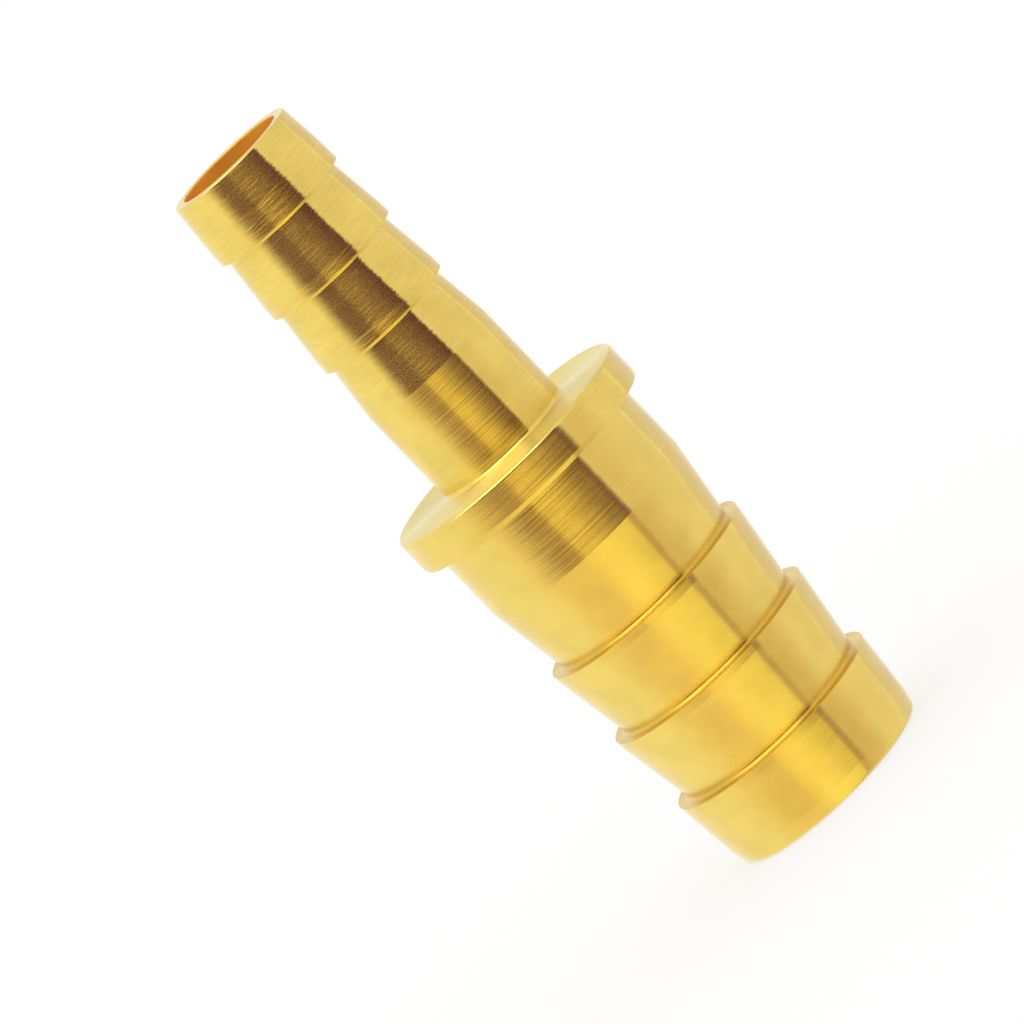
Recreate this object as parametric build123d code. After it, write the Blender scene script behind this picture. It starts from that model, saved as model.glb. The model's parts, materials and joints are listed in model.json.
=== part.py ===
from build123d import *
import math
import os

# Hose barb reducer, turned in one piece from round brass bar and drilled through from both ends.
# The turning axis is Z. The part stands on its large end, whose face is at z = 0, and the small
# shank points up. Sizes are in millimetres and angles in degrees.

# Large shank, for the wider hose
LARGE_DIAMETER = 17.25        # over the barbs
LARGE_BARBS = 3
LARGE_PITCH = 6.34            # from one barb's edge to the next
LARGE_STEP = 0.885            # how far the step behind a barb goes in
LARGE_CORNER = 0.40           # small cone that the form tool leaves at the foot of the step
LARGE_LAND = 0.60             # straight stretch that ends at a barb's edge
LARGE_WALL = 1.24             # brass left between the steps and the bore
END_LENGTH = 6.06             # from the large end's face to the first barb's edge
END_LEAD_LENGTH = 1.20        # steeper lead at the end face
END_DROP = 0.46               # how far the barb has tapered in where the lead begins
END_LEAD_DROP = 0.25          # and how much further it goes in at the end face
END_ROUND = 0.45
SHANK_TAPER = 5.90            # from the last step to the plain shank
SHANK_LENGTH = 5.53           # plain shank under the flange
SHANK_RELIEF = 0.05           # the plain shank is turned this far under the barbs

# Flange that stops both hoses
FLANGE_THICKNESS = 2.65
FLANGE_LIP = 1.325            # how far it stands out from the plain shank
FLANGE_CHAMFER = 0.10         # broken edge at its front
FLANGE_BEVEL_LENGTH = 0.35    # slight lead at the back of its rim
FLANGE_BEVEL_DROP = 0.06

# Small shank, for the narrower hose
SMALL_DIAMETER = 10.75        # over the barbs, and of the neck
SMALL_BARBS = 3
SMALL_PITCH = 5.13
SMALL_STEP = 0.47
SMALL_CORNER = 0.25
SMALL_LAND = 0.90
SMALL_WALL = 0.73
NECK_LENGTH = 7.60            # plain neck on the flange
NECK_ROUND = 0.35             # corner between the neck and the flange
NECK_TAPER = 4.35             # from the neck to the first step
TIP_LENGTH = 4.97             # from the last step to the tip's face
TIP_LEAD_LENGTH = 1.20        # slight lead beside the land of the tip's barb
TIP_LEAD_DROP = 0.05
TIP_DROP = 0.36               # how far that barb has tapered in at the tip's face
TIP_CHAMFER = 0.12            # broken edge round the tip's face

# Bores
BORE_STOP = 1.00              # the large drill stops this far below the flange's back
DRILL_POINT_ANGLE = 118.0
MOUTH_CHAMFER = 0.10          # broken edge of the bore at both mouths

# Heights, built up from the large end
large_edges = [END_LENGTH + barb * LARGE_PITCH for barb in range(LARGE_BARBS)]
shank_foot = large_edges[-1] + SHANK_TAPER
flange_back = shank_foot + SHANK_LENGTH
flange_front = flange_back + FLANGE_THICKNESS
neck_top = flange_front + NECK_LENGTH
small_edges = [neck_top + NECK_TAPER + barb * SMALL_PITCH for barb in range(SMALL_BARBS)]
tip = small_edges[-1] + TIP_LENGTH

# Radii
large_crest = LARGE_DIAMETER / 2
large_root = large_crest - LARGE_STEP
large_bore = large_root - LARGE_WALL
shank = large_crest - SHANK_RELIEF
flange = shank + FLANGE_LIP
small_crest = SMALL_DIAMETER / 2
small_root = small_crest - SMALL_STEP
small_bore = small_root - SMALL_WALL
tip_rim = small_crest - TIP_DROP


# Each point of the outline is its radius, its height and the round turned on it.
SHARP = 0.0


def large_shank_outline():
    """From the end face up to the flange. The steps face the flange and hold the hose on."""
    lead_foot = large_crest - END_DROP
    outline = [(lead_foot - END_LEAD_DROP, 0, END_ROUND), (lead_foot, END_LEAD_LENGTH, SHARP)]
    for edge in large_edges:
        outline += [
            (large_crest, edge - LARGE_LAND, SHARP),
            (large_crest, edge, SHARP),
            (large_root + LARGE_CORNER, edge, SHARP),
            (large_root, edge + LARGE_CORNER, SHARP),
        ]
    outline += [(shank, shank_foot, SHARP), (shank, flange_back, SHARP)]
    return outline


def flange_outline():
    """Round the rim, from the back face to the front face."""
    return [
        (flange - FLANGE_BEVEL_DROP, flange_back, SHARP),
        (flange, flange_back + FLANGE_BEVEL_LENGTH, SHARP),
        (flange, flange_front - FLANGE_CHAMFER, SHARP),
        (flange - FLANGE_CHAMFER, flange_front, SHARP),
    ]


def small_shank_outline():
    """From the flange up to the tip, with the steps facing down to the flange."""
    outline = [(small_crest, flange_front, NECK_ROUND), (small_crest, neck_top, SHARP)]
    for edge in small_edges:
        outline += [
            (small_root, edge - SMALL_CORNER, SHARP),
            (small_root + SMALL_CORNER, edge, SHARP),
            (small_crest, edge, SHARP),
            (small_crest, edge + SMALL_LAND, SHARP),
        ]
    tip_lead = small_edges[-1] + SMALL_LAND + TIP_LEAD_LENGTH
    outline += [(small_crest - TIP_LEAD_DROP, tip_lead, SHARP)]
    outline += [(tip_rim, tip - TIP_CHAMFER, SHARP), (tip_rim - TIP_CHAMFER, tip, SHARP)]
    return outline


def bore_outline():
    """Down the small bore, out along the large drill's point and down the large bore."""
    point_foot = flange_back - BORE_STOP
    point_height = (large_bore - small_bore) / math.tan(math.radians(DRILL_POINT_ANGLE / 2))
    return [
        (small_bore + MOUTH_CHAMFER, tip, SHARP),
        (small_bore, tip - MOUTH_CHAMFER, SHARP),
        (small_bore, point_foot + point_height, SHARP),
        (large_bore, point_foot, SHARP),
        (large_bore, MOUTH_CHAMFER, SHARP),
        (large_bore + MOUTH_CHAMFER, 0, SHARP),
    ]


def reducer_body():
    """The whole outline, turned once round the axis."""
    outline = large_shank_outline() + flange_outline() + small_shank_outline() + bore_outline()
    points = [(radius, height) for radius, height, _ in outline]
    rounds = [corner_round for _, _, corner_round in outline]
    with BuildPart() as body:
        with BuildSketch(Plane.XZ):
            with BuildLine():
                FilletPolyline(*points, radius=rounds, close=True)
            make_face()
        revolve(axis=Axis.Z)
    return body.part


os.makedirs("parts", exist_ok=True)
export_step(reducer_body(), "parts/reducer_body.step")
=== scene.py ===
import json
import math

import bmesh
import bpy
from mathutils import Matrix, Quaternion, Vector


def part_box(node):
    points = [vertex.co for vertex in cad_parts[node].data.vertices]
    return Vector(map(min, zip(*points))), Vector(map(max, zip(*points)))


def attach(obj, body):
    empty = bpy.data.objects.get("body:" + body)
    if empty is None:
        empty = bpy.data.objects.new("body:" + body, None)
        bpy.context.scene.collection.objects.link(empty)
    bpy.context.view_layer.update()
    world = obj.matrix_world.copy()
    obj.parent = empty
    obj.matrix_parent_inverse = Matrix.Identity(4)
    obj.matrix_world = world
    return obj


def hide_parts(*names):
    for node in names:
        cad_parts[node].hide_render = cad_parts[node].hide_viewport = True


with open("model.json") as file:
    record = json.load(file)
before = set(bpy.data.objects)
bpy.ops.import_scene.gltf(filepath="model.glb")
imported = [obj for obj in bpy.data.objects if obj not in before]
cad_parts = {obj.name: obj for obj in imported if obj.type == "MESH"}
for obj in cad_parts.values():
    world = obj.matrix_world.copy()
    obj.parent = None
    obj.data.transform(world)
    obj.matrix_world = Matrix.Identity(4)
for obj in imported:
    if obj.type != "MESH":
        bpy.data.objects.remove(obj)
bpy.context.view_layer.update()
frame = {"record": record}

MM = 0.001

# Reducer body
# The whole fitting is one piece of free-cutting brass, turned from round bar: form tools cut the barbs
# and the flange, and two drills meet inside. It is spun here as finely as its mirror finish asks,
# in the place and form of the CAD node.
_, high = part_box("reducer_body")
mounts = {mount["name"]: mount["dims"] for mount in frame["record"]["mounts"]}

# Large shank, for the wider hose. All sizes of the body are in millimetres.
LARGE_BARBS = 3
LARGE_PITCH = 6.34            # from one barb's edge to the next
LARGE_STEP = 0.95             # how far the step behind a barb goes in
LARGE_LAND = 0.60             # nearly straight stretch that ends at a barb's edge
LARGE_LAND_DROP = 0.04        # how far the land is turned in at its other end
LARGE_STEP_ROUND = 0.28       # left by the form tool's nose in the corner of the step
END_LENGTH = 6.06             # from the large end's face to the first barb's edge
END_LEAD_LENGTH = 1.20        # steeper lead at the end face
END_DROP = 0.46               # how far the barb has tapered in where the lead begins
END_LEAD_DROP = 0.25          # and how much further it goes in at the end face
END_ROUND = 0.45
SHANK_TAPER = 5.90            # from the last step to the plain shank
SHANK_LENGTH = 5.53           # plain shank under the flange
SHANK_RELIEF = 0.05           # the plain shank is turned this far under the barbs

# Flange that stops both hoses
FLANGE_THICKNESS = 2.65
FLANGE_EDGE_ROUND = 0.27      # broken edge at its front
FLANGE_BEVEL_LENGTH = 0.35    # slight lead at the back of its rim
FLANGE_BEVEL_DROP = 0.06
FLANGE_FOOT_ROUND = 0.12      # corner between its back and the plain shank

# Small shank, for the narrower hose
SMALL_BARBS = 3
SMALL_PITCH = 5.13
SMALL_STEP = 0.50
SMALL_LAND = 0.90
SMALL_LAND_DROP = 0.04
SMALL_STEP_ROUND = 0.22
SMALL_EDGE_ROUND = 0.05       # slight wear of the barbs' edges
NECK_LENGTH = 7.60            # plain neck on the flange
NECK_ROUND = 0.35             # corner between the neck and the flange
NECK_TAPER = 4.35             # from the neck to the first step
TIP_LEAD_LENGTH = 1.20        # slight lead beside the land of the tip's barb
TIP_LEAD_DROP = 0.10
TIP_DROP = 0.36               # how far that barb has tapered in at the tip's face
TIP_ROUND = 0.12

# Bores
BORE_STOP = 1.00              # the large drill stops this far below the flange's back
DRILL_POINT_ANGLE = 118.0
MOUTH_ROUND = 0.10            # broken edge of the bore at both mouths

# Heights, built up from the large end
large_edges = [END_LENGTH + barb * LARGE_PITCH for barb in range(LARGE_BARBS)]
shank_foot = large_edges[-1] + SHANK_TAPER
flange_back = shank_foot + SHANK_LENGTH
flange_front = flange_back + FLANGE_THICKNESS
neck_top = flange_front + NECK_LENGTH
small_edges = [neck_top + NECK_TAPER + barb * SMALL_PITCH for barb in range(SMALL_BARBS)]
tip_lead = small_edges[-1] + SMALL_LAND + TIP_LEAD_LENGTH
tip = high[2] / MM

# Radii
large_crest = mounts["large_barb"]["r_mm"]
large_root = large_crest - LARGE_STEP
large_bore = mounts["large_bore"]["r_mm"]
lead_foot = large_crest - END_DROP
shank = large_crest - SHANK_RELIEF
flange = high[0] / MM
small_crest = mounts["small_barb"]["r_mm"]
small_root = small_crest - SMALL_STEP
small_bore = mounts["small_bore"]["r_mm"]

# The outline as radius, height and the round turned on that corner, from the large end upwards
# and back down through the bores
SHARP = 0.0
outline = [(lead_foot - END_LEAD_DROP, 0, END_ROUND), (lead_foot, END_LEAD_LENGTH, SHARP)]
for edge in large_edges:
    outline += [(large_crest - LARGE_LAND_DROP, edge - LARGE_LAND, SHARP)]
    outline += [(large_crest, edge, SHARP), (large_root, edge, LARGE_STEP_ROUND)]
outline += [(shank, shank_foot, SHARP), (shank, flange_back, FLANGE_FOOT_ROUND)]
outline += [(flange - FLANGE_BEVEL_DROP, flange_back, SHARP)]
outline += [(flange, flange_back + FLANGE_BEVEL_LENGTH, SHARP)]
outline += [(flange, flange_front, FLANGE_EDGE_ROUND)]
outline += [(small_crest, flange_front, NECK_ROUND), (small_crest, neck_top, SHARP)]
for edge in small_edges:
    outline += [(small_root, edge, SMALL_STEP_ROUND), (small_crest, edge, SMALL_EDGE_ROUND)]
    outline += [(small_crest - SMALL_LAND_DROP, edge + SMALL_LAND, SHARP)]
outline += [(small_crest - TIP_LEAD_DROP, tip_lead, SHARP)]
outline += [(small_crest - TIP_DROP, tip, TIP_ROUND), (small_bore, tip, MOUTH_ROUND)]

point_foot = flange_back - BORE_STOP
point_height = (large_bore - small_bore) / math.tan(math.radians(DRILL_POINT_ANGLE / 2))
outline += [(small_bore, point_foot + point_height, SHARP), (large_bore, point_foot, SHARP)]
outline += [(large_bore, 0, MOUTH_ROUND)]


def scene_object(name, mesh):
    """Makes a finished mesh an object of the scene."""
    data = bpy.data.meshes.new(name)
    mesh.to_mesh(data)
    mesh.free()
    made = bpy.data.objects.new(name, data)
    bpy.context.scene.collection.objects.link(made)
    return made


def turned(name, outline, steps=240, round_step=5.0, spare=0.6, holding=0.03, merge=0.0001):
    """Spins an outline in millimetres round Z. A round is an arc with a facet for each round_step
    degrees, and a corner that turns more than that, and a little to spare, is crisp."""
    mesh = bmesh.new()
    corners = [mesh.verts.new((radius * MM, 0, height * MM)) for radius, height, _ in outline]
    for corner, following in zip(corners, corners[1:] + corners[:1]):
        mesh.edges.new((corner, following))
    for corner, (_, _, corner_round) in zip(corners, outline):
        if corner_round:
            ends = [edge.other_vert(corner).co for edge in corner.link_edges]
            one, other = [(end - corner.co).normalized() for end in ends]
            turn = math.pi - one.angle(other)
            bmesh.ops.bevel(mesh, geom=[corner], offset=corner_round * MM * math.tan(turn / 2),
                            offset_type="OFFSET", segments=math.ceil(math.degrees(turn) / round_step),
                            profile=0.5, affect="VERTICES", material=-1)
    # A holding point close to each end of a straight stretch keeps its shading straight.
    shortest_run = 4 * holding
    for run in [edge for edge in mesh.edges if edge.calc_length() > shortest_run * MM]:
        near, far = run.verts
        _, point = bmesh.utils.edge_split(run, near, holding * MM / run.calc_length())
        rest = next(edge for edge in far.link_edges if edge.other_vert(far) == point)
        bmesh.utils.edge_split(rest, far, holding * MM / rest.calc_length())
    bmesh.ops.spin(mesh, geom=mesh.verts[:] + mesh.edges[:], cent=(0, 0, 0), axis=(0, 0, 1),
                   angle=math.tau, steps=steps, use_merge=True)
    bmesh.ops.remove_doubles(mesh, verts=mesh.verts, dist=merge * MM)
    bmesh.ops.recalc_face_normals(mesh, faces=mesh.faces)
    for face in mesh.faces:
        face.smooth = True
    for edge in mesh.edges:
        edge.smooth = edge.calc_face_angle(0) < math.radians(round_step + spare)
    return scene_object(name, mesh)


def node(tree, kind, links=(), **settings):
    """Adds a node, sets its properties and its inputs, and links outputs into it."""
    made = tree.nodes.new(kind)
    for name, value in settings.items():
        setattr(made, name, value)
    for socket, value in dict(links).items():
        if isinstance(value, bpy.types.NodeSocket):
            tree.links.new(value, made.inputs[socket])
        else:
            made.inputs[socket].default_value = value
    return made.outputs[0] if made.outputs else made


def linear(colour):
    """An sRGB hex colour as linear RGBA."""
    parts = [int(colour[start:start + 2], 16) / 255 for start in (0, 2, 4)]
    light = [part / 12.92 if part <= 0.04045 else ((part + 0.055) / 1.055) ** 2.4 for part in parts]
    return light + [1.0]


def new_material(name):
    """An empty material that is made of nodes."""
    material = bpy.data.materials.new(name)
    material.use_nodes = True
    material.node_tree.nodes.clear()
    return material


def brass(name, colour, roughness, ring_depth, ring_length=6.0, anisotropic=1.0):
    """Bright unplated brass. The tool leaves fine rings, so a reflection is sharp round the part and
    smeared along it. The rings are really about 0.05 mm apart and are drawn coarser, as fine as the
    render shows. One ring stays the same for about its ring_length round the part. Besides its bump,
    each ring is painted darker at its foot and lighter at its top, as painted shade and highlight."""
    ring_spacing = 0.18
    ring_detail = 2.0
    ring_low, ring_high = 0.35, 0.65      # the noise at a ring's foot, painted darker as shade, and at its top, painted lighter as a highlight
    groove_shade = 2.0                            # a deeper ring's foot is painted darker, as painted shade in its groove
    ring_shade = groove_shade * ring_depth
    wave_spacing = 1.4                    # chatter and slight unevenness
    wave_length = 2.5
    wave_depth = 0.012
    wave_detail = 1.0
    cloud_size = 2.4                      # faint clouding of handled, unlacquered brass
    cloud_shade = 0.07
    cloud_detail = 3.0
    cloud_low, cloud_high = 0.3, 0.7      # the noise where a cloud is darkest and where it is lightest
    smear_turn = 0.25                     # a quarter turn, so that the smear crosses the rings
    material = new_material(name)
    tree = material.node_tree
    place = tree.nodes.new("ShaderNodeTexCoord").outputs["Object"]
    across = node(tree, "ShaderNodeMapping", {"Vector": place, "Scale": (1, 1, 0)})
    radius = node(tree, "ShaderNodeVectorMath", {0: across}, operation="LENGTH").node.outputs["Value"]
    height = node(tree, "ShaderNodeSeparateXYZ", {"Vector": place}).node.outputs["Z"]
    # The tool feeds along the part's sides and outwards on its faces.
    feed = node(tree, "ShaderNodeMath", {0: height, 1: radius}, operation="ADD")
    normal = None
    for spacing, length, depth, detail in ((wave_spacing, wave_length, wave_depth, wave_detail),
                                           (ring_spacing, ring_length, ring_depth, ring_detail)):
        along = node(tree, "ShaderNodeMath", {0: feed, 1: 1 / (spacing * MM)}, operation="MULTIPLY")
        around = node(tree, "ShaderNodeMapping", {"Vector": across, "Scale": [1 / (length * MM)] * 3})
        step = node(tree, "ShaderNodeCombineXYZ", {"Z": along})
        where = node(tree, "ShaderNodeVectorMath", {0: around, 1: step}, operation="ADD")
        marks = node(tree, "ShaderNodeTexNoise", {"Vector": where, "Scale": 1.0, "Detail": detail})
        bump = {"Distance": depth * MM, "Height": marks}
        if normal:
            bump["Normal"] = normal
        normal = node(tree, "ShaderNodeBump", bump)
    rings = marks
    clouds = node(tree, "ShaderNodeTexNoise", {
        "Vector": place, "Scale": 1 / (cloud_size * MM), "Detail": cloud_detail})
    # Clouds and rings darken the brass twice as far as they lighten it. The clouds are the brass's own
    # uneven tone, and the rings' darkening and lightening is painted shade and highlight.
    clouding = node(tree, "ShaderNodeMapRange", {
        "Value": clouds, "From Min": cloud_low, "From Max": cloud_high,
        "To Min": 1 - cloud_shade, "To Max": 1 + cloud_shade / 2})
    # painted shade at each ring's foot and painted highlight at its top
    painted_ring_light = node(tree, "ShaderNodeMapRange", {
        "Value": rings, "From Min": ring_low, "From Max": ring_high,
        "To Min": 1 - ring_shade, "To Max": 1 + ring_shade / 2})
    lightness = node(tree, "ShaderNodeMath", {0: clouding, 1: painted_ring_light}, operation="MULTIPLY")
    shaded = node(tree, "ShaderNodeHueSaturation", {"Color": linear(colour), "Value": lightness})
    shader = node(tree, "ShaderNodeBsdfPrincipled", {
        "Base Color": shaded, "Metallic": 1.0, "Roughness": roughness,
        "Anisotropic": anisotropic, "Anisotropic Rotation": smear_turn, "Normal": normal})
    node(tree, "ShaderNodeOutputMaterial", {"Surface": shader})
    return material


body = turned("reducer", outline)

# One brass with the finish that each tool leaves. The plain shank, the neck and the flange's rim are
# nearly mirrors. The steps behind the large barbs are duller, and their darker, redder colour is
# painted shade in each step's corner. The drilled bores are rough, and their more orange colour is
# painted light that bounces inside them. The flange's faced front has a wide smear, and its pale
# colour is a painted highlight. The large shank's cones and lands are nearly free of rings, and those
# of the small shank are scored with short, deep ones, which carry more of the rings' painted shade.
finishes = [
    brass("turned brass", "F3D66E", roughness=0.18, ring_depth=0.012),
    # its rougher surface is the cut finish, and its darker, redder colour is painted shade in the
    # step's corner
    brass("cut brass with painted shade", "E6C052", roughness=0.26, ring_depth=0.01),
    # its roughness is the drilled finish, and its more orange colour is painted light bouncing inside
    # the bores
    brass("drilled brass with painted bounced light", "FFBE48", roughness=0.55, ring_depth=0.012, anisotropic=0.5),
    # its wide smear is the faced finish, and its paler colour is a painted highlight on the flange's
    # upward face
    brass("faced brass with painted highlight", "F4E08C", roughness=0.32, ring_depth=0.012),
    brass("smooth turned brass", "F3D66E", roughness=0.18, ring_depth=0.005),
    # the deep rings are real bumps, and they also carry stronger painted shade and highlight
    brass("ringed brass", "F3D66E", roughness=0.18, ring_depth=0.022, ring_length=1.6),
]
for finish in finishes:
    body.data.materials.append(finish)
TURNED, CUT_SHADED, DRILLED_GLOWING, FACED_HIGHLIT, SMOOTH, RINGED = range(len(finishes))


def finish_of(face):
    """Which finish a face of the body has, from its height in millimetres and the way it tilts."""
    touch = 0.01                  # a face this near a height lies at it
    into_bore = -0.3              # a normal that turns this far towards the axis is in a bore
    level = 0.999                 # the upward part of the normal on a flat face
    steep = 0.9                   # and the most that it is on a cone, upwards or downwards
    large_tilt = 0.03             # and the least, on each shank's cones
    small_tilt = 0.01
    height = face.center.z / MM
    outward = Vector((face.center.x, face.center.y, 0)).normalized()
    tilt = face.normal.z
    if face.normal.dot(outward) < into_bore:
        return DRILLED_GLOWING
    # faces in the corner of each large step, whose darker, redder colour is painted shade
    if any(-touch < height - edge < LARGE_STEP_ROUND for edge in large_edges):
        return CUT_SHADED
    if tilt > level and abs(height - flange_front) < touch:
        return FACED_HIGHLIT
    if -steep < tilt < -large_tilt and height < shank_foot:
        return SMOOTH
    if small_tilt < tilt < steep and height > neck_top:
        return RINGED
    return TURNED


for face in body.data.polygons:
    face.material_index = finish_of(face)
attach(body, "root")
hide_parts("reducer_body")

# Floor
# A wide round of white paper that the part stands on. It is drawn nearly full white, keeps the
# part's soft shadow, and is clear from below. The cards stand for its reflection in the brass.
FLOOR_RADIUS = 4.0            # in metres
FLOOR_SIDES = 64
SHADOW_SHARE = 0.35           # the share of the paper that light and shadow change
WHITE = linear("FFFFFF")

sheet = bmesh.new()
bmesh.ops.create_circle(sheet, cap_ends=True, segments=FLOOR_SIDES, radius=FLOOR_RADIUS)
floor = scene_object("floor", sheet)
paper = new_material("white paper")
tree = paper.node_tree
back_face = tree.nodes.new("ShaderNodeNewGeometry").outputs["Backfacing"]
matt = node(tree, "ShaderNodeBsdfDiffuse", {"Color": WHITE})
white = node(tree, "ShaderNodeEmission", {"Color": WHITE, "Strength": 1.0})
mixed = node(tree, "ShaderNodeMixShader", {0: SHADOW_SHARE, 1: white, 2: matt})
clear = node(tree, "ShaderNodeBsdfTransparent")
sided = node(tree, "ShaderNodeMixShader", {0: back_face, 1: mixed, 2: clear})
node(tree, "ShaderNodeOutputMaterial", {"Surface": sided})
floor.data.materials.append(paper)
floor.visible_glossy = False

# Studio
# The brass is a mirror, so it shows the room. That is white all round, with a dark doorway at the
# camera's side, a gold card below it, tan and grey walls to the sides and behind, and a lamp above.
# Each card stands at its own distance and covers those that are farther away.
world = bpy.data.worlds.new("studio")
bpy.context.scene.world = world
world.use_nodes = True
tree = world.node_tree
tree.nodes.clear()
shine = node(tree, "ShaderNodeBackground", {"Color": WHITE, "Strength": 1.0})
node(tree, "ShaderNodeOutputWorld", {"Surface": shine})


def card(name, light, bearing, rise, soft, distance, steps=48):
    """A curved card round the part, seen only in its reflections. Angles are in degrees, bearings
    from the camera's side towards -X and rises from the floor up, and soft is the blur of its left,
    right, lower and upper edge. The distance is in metres."""
    left, right = bearing
    bottom, top = rise
    left_blur, right_blur, bottom_blur, top_blur = soft
    mesh = bmesh.new()
    start, end = math.radians(left - left_blur / 2), math.radians(right + right_blur / 2)
    corners = []
    for angle in (math.radians(bottom - bottom_blur / 2), math.radians(top + top_blur / 2)):
        where = Vector((-math.sin(start), -math.cos(start), math.tan(angle))) * distance
        corners.append(mesh.verts.new(where))
    side = mesh.edges.new(corners)
    bmesh.ops.spin(mesh, geom=corners + [side], cent=(0, 0, 0), axis=(0, 0, -1), angle=end - start,
                   steps=steps)
    made = scene_object(name, mesh)
    made.visible_camera = False
    made.visible_diffuse = False
    made.visible_shadow = False
    material = new_material(name)
    tree = material.node_tree
    place = tree.nodes.new("ShaderNodeTexCoord").outputs["Object"]
    # Bearings are taken from the card's own middle, so that none passes half a turn.
    middle = math.radians((left + right) / 2)
    half = (right - left) / 2
    faced = node(tree, "ShaderNodeVectorRotate", {"Vector": place, "Angle": middle},
                 rotation_type="Z_AXIS")
    x, y, z = node(tree, "ShaderNodeSeparateXYZ", {"Vector": faced}).node.outputs
    toward = node(tree, "ShaderNodeMath", {0: y, 1: -1.0}, operation="MULTIPLY")
    aside = node(tree, "ShaderNodeMath", {0: x, 1: -1.0}, operation="MULTIPLY")
    turn = node(tree, "ShaderNodeMath", {0: aside, 1: toward}, operation="ARCTAN2")
    lift = node(tree, "ShaderNodeMath", {0: z, 1: distance}, operation="ARCTAN2")
    cover = 1.0
    for angle, edge, blur, inward in ((turn, -half, left_blur, 1), (turn, half, right_blur, -1),
                                      (lift, bottom, bottom_blur, 1), (lift, top, top_blur, -1)):
        outer, inner = math.radians(edge - inward * blur / 2), math.radians(edge + inward * blur / 2)
        fade = node(tree, "ShaderNodeMapRange", {"Value": angle, "From Min": outer, "From Max": inner},
                    interpolation_type="SMOOTHSTEP")
        cover = node(tree, "ShaderNodeMath", {0: cover, 1: fade}, operation="MULTIPLY")
    glow = node(tree, "ShaderNodeEmission", {"Color": (*light, 1)})
    clear = node(tree, "ShaderNodeBsdfTransparent")
    mixed = node(tree, "ShaderNodeMixShader", {0: cover, 1: clear, 2: glow})
    node(tree, "ShaderNodeOutputMaterial", {"Surface": mixed})
    made.data.materials.append(material)


# The light of each card as linear red, green and blue, where white paper has 1
DARK = (0.08, 0.0, 0.08)
WOOD = (0.70, 0.56, 0.45)
BRIGHT_GOLD = (1.42, 1.13, 0.44)
GOLD = (1.12, 1.04, 0.56)
TAN = (0.99, 0.85, 0.64)
SHADED_TAN = (0.76, 0.64, 0.54)
GREY = (0.90, 0.87, 0.92)
WARM_GAP = (1.15, 1.15, 1.1)
FAR_GREY = (0.82, 0.79, 0.92)
WARM_GREY = (0.93, 0.93, 0.86)
LAMP = (2.5, 2.5, 2.5)

card("door", DARK, bearing=(-40.5, 57), rise=(-6, 29), soft=(2, 29, 3, 16), distance=2.8)
card("door_left_leg", DARK, bearing=(-42.5, -16), rise=(-17, -2), soft=(2, 30, 10, 2), distance=2.75)
card("door_sill", DARK, bearing=(-42.5, -1), rise=(-9, -2), soft=(2, 16, 5, 2), distance=2.72)
card("door_right_leg", DARK, bearing=(20, 40.6), rise=(-12, 0), soft=(9, 21, 10, 2), distance=2.7)
card("door_post", WOOD, bearing=(-44, -37), rise=(-45, -10), soft=(3, 4, 20, 4), distance=2.82)
card("gold_top", BRIGHT_GOLD, bearing=(-38, 35), rise=(-19, 4), soft=(3, 24, 14, 12), distance=2.85)
card("gold", GOLD, bearing=(-38, 16), rise=(-80, 4), soft=(3, 38, 10, 12), distance=2.9)
card("right_tan", TAN, bearing=(10, 73), rise=(-80, 1), soft=(10, 40, 10, 10), distance=3.0)
card("left_tan", SHADED_TAN, bearing=(-70, -30), rise=(-80, -7), soft=(40, 10, 10, 10), distance=3.1)
card("left_wall", GREY, bearing=(-118, -45), rise=(-80, 60), soft=(2, 10, 10, 20), distance=3.2)
card("wall_gap", WARM_GAP, bearing=(-118, -116), rise=(-60, 12), soft=(1, 1, 10, 10), distance=3.12)
card("far_wall", FAR_GREY, bearing=(-165, -116), rise=(-80, 60), soft=(30, 2, 10, 20), distance=3.25)
card("back_wall", WARM_GREY, bearing=(165, 195), rise=(-15, 40), soft=(20, 20, 10, 20), distance=3.15)
card("lamp", LAMP, bearing=(-28, 85), rise=(36, 72), soft=(24, 30, 10, 10), distance=3.3)

# Camera
# A long lens a little above the level of the part, rolled so that the part lies across the picture.
# Its lengths are in millimetres, and it looks at a point beside the part's axis.
LENS = 331.6
SENSOR = 36.0
DISTANCE = 644.5
AIM = Vector((-2.824, -0.614, 29.10))
DOWN_TILT = math.radians(9.37)
ROLL = math.radians(-44.0)
back = Vector((0, -math.cos(DOWN_TILT), math.sin(DOWN_TILT)))
lens = bpy.data.cameras.new("camera")
lens.lens = LENS
lens.sensor_width = SENSOR
camera = bpy.data.objects.new("camera", lens)
bpy.context.scene.collection.objects.link(camera)
camera.location = AIM * MM + back * DISTANCE * MM
camera.rotation_mode = "QUATERNION"
camera.rotation_quaternion = (-back).to_track_quat("-Z", "Y") @ Quaternion((0, 0, 1), ROLL)
bpy.context.scene.camera = camera
bpy.context.scene.view_settings.view_transform = "Standard"
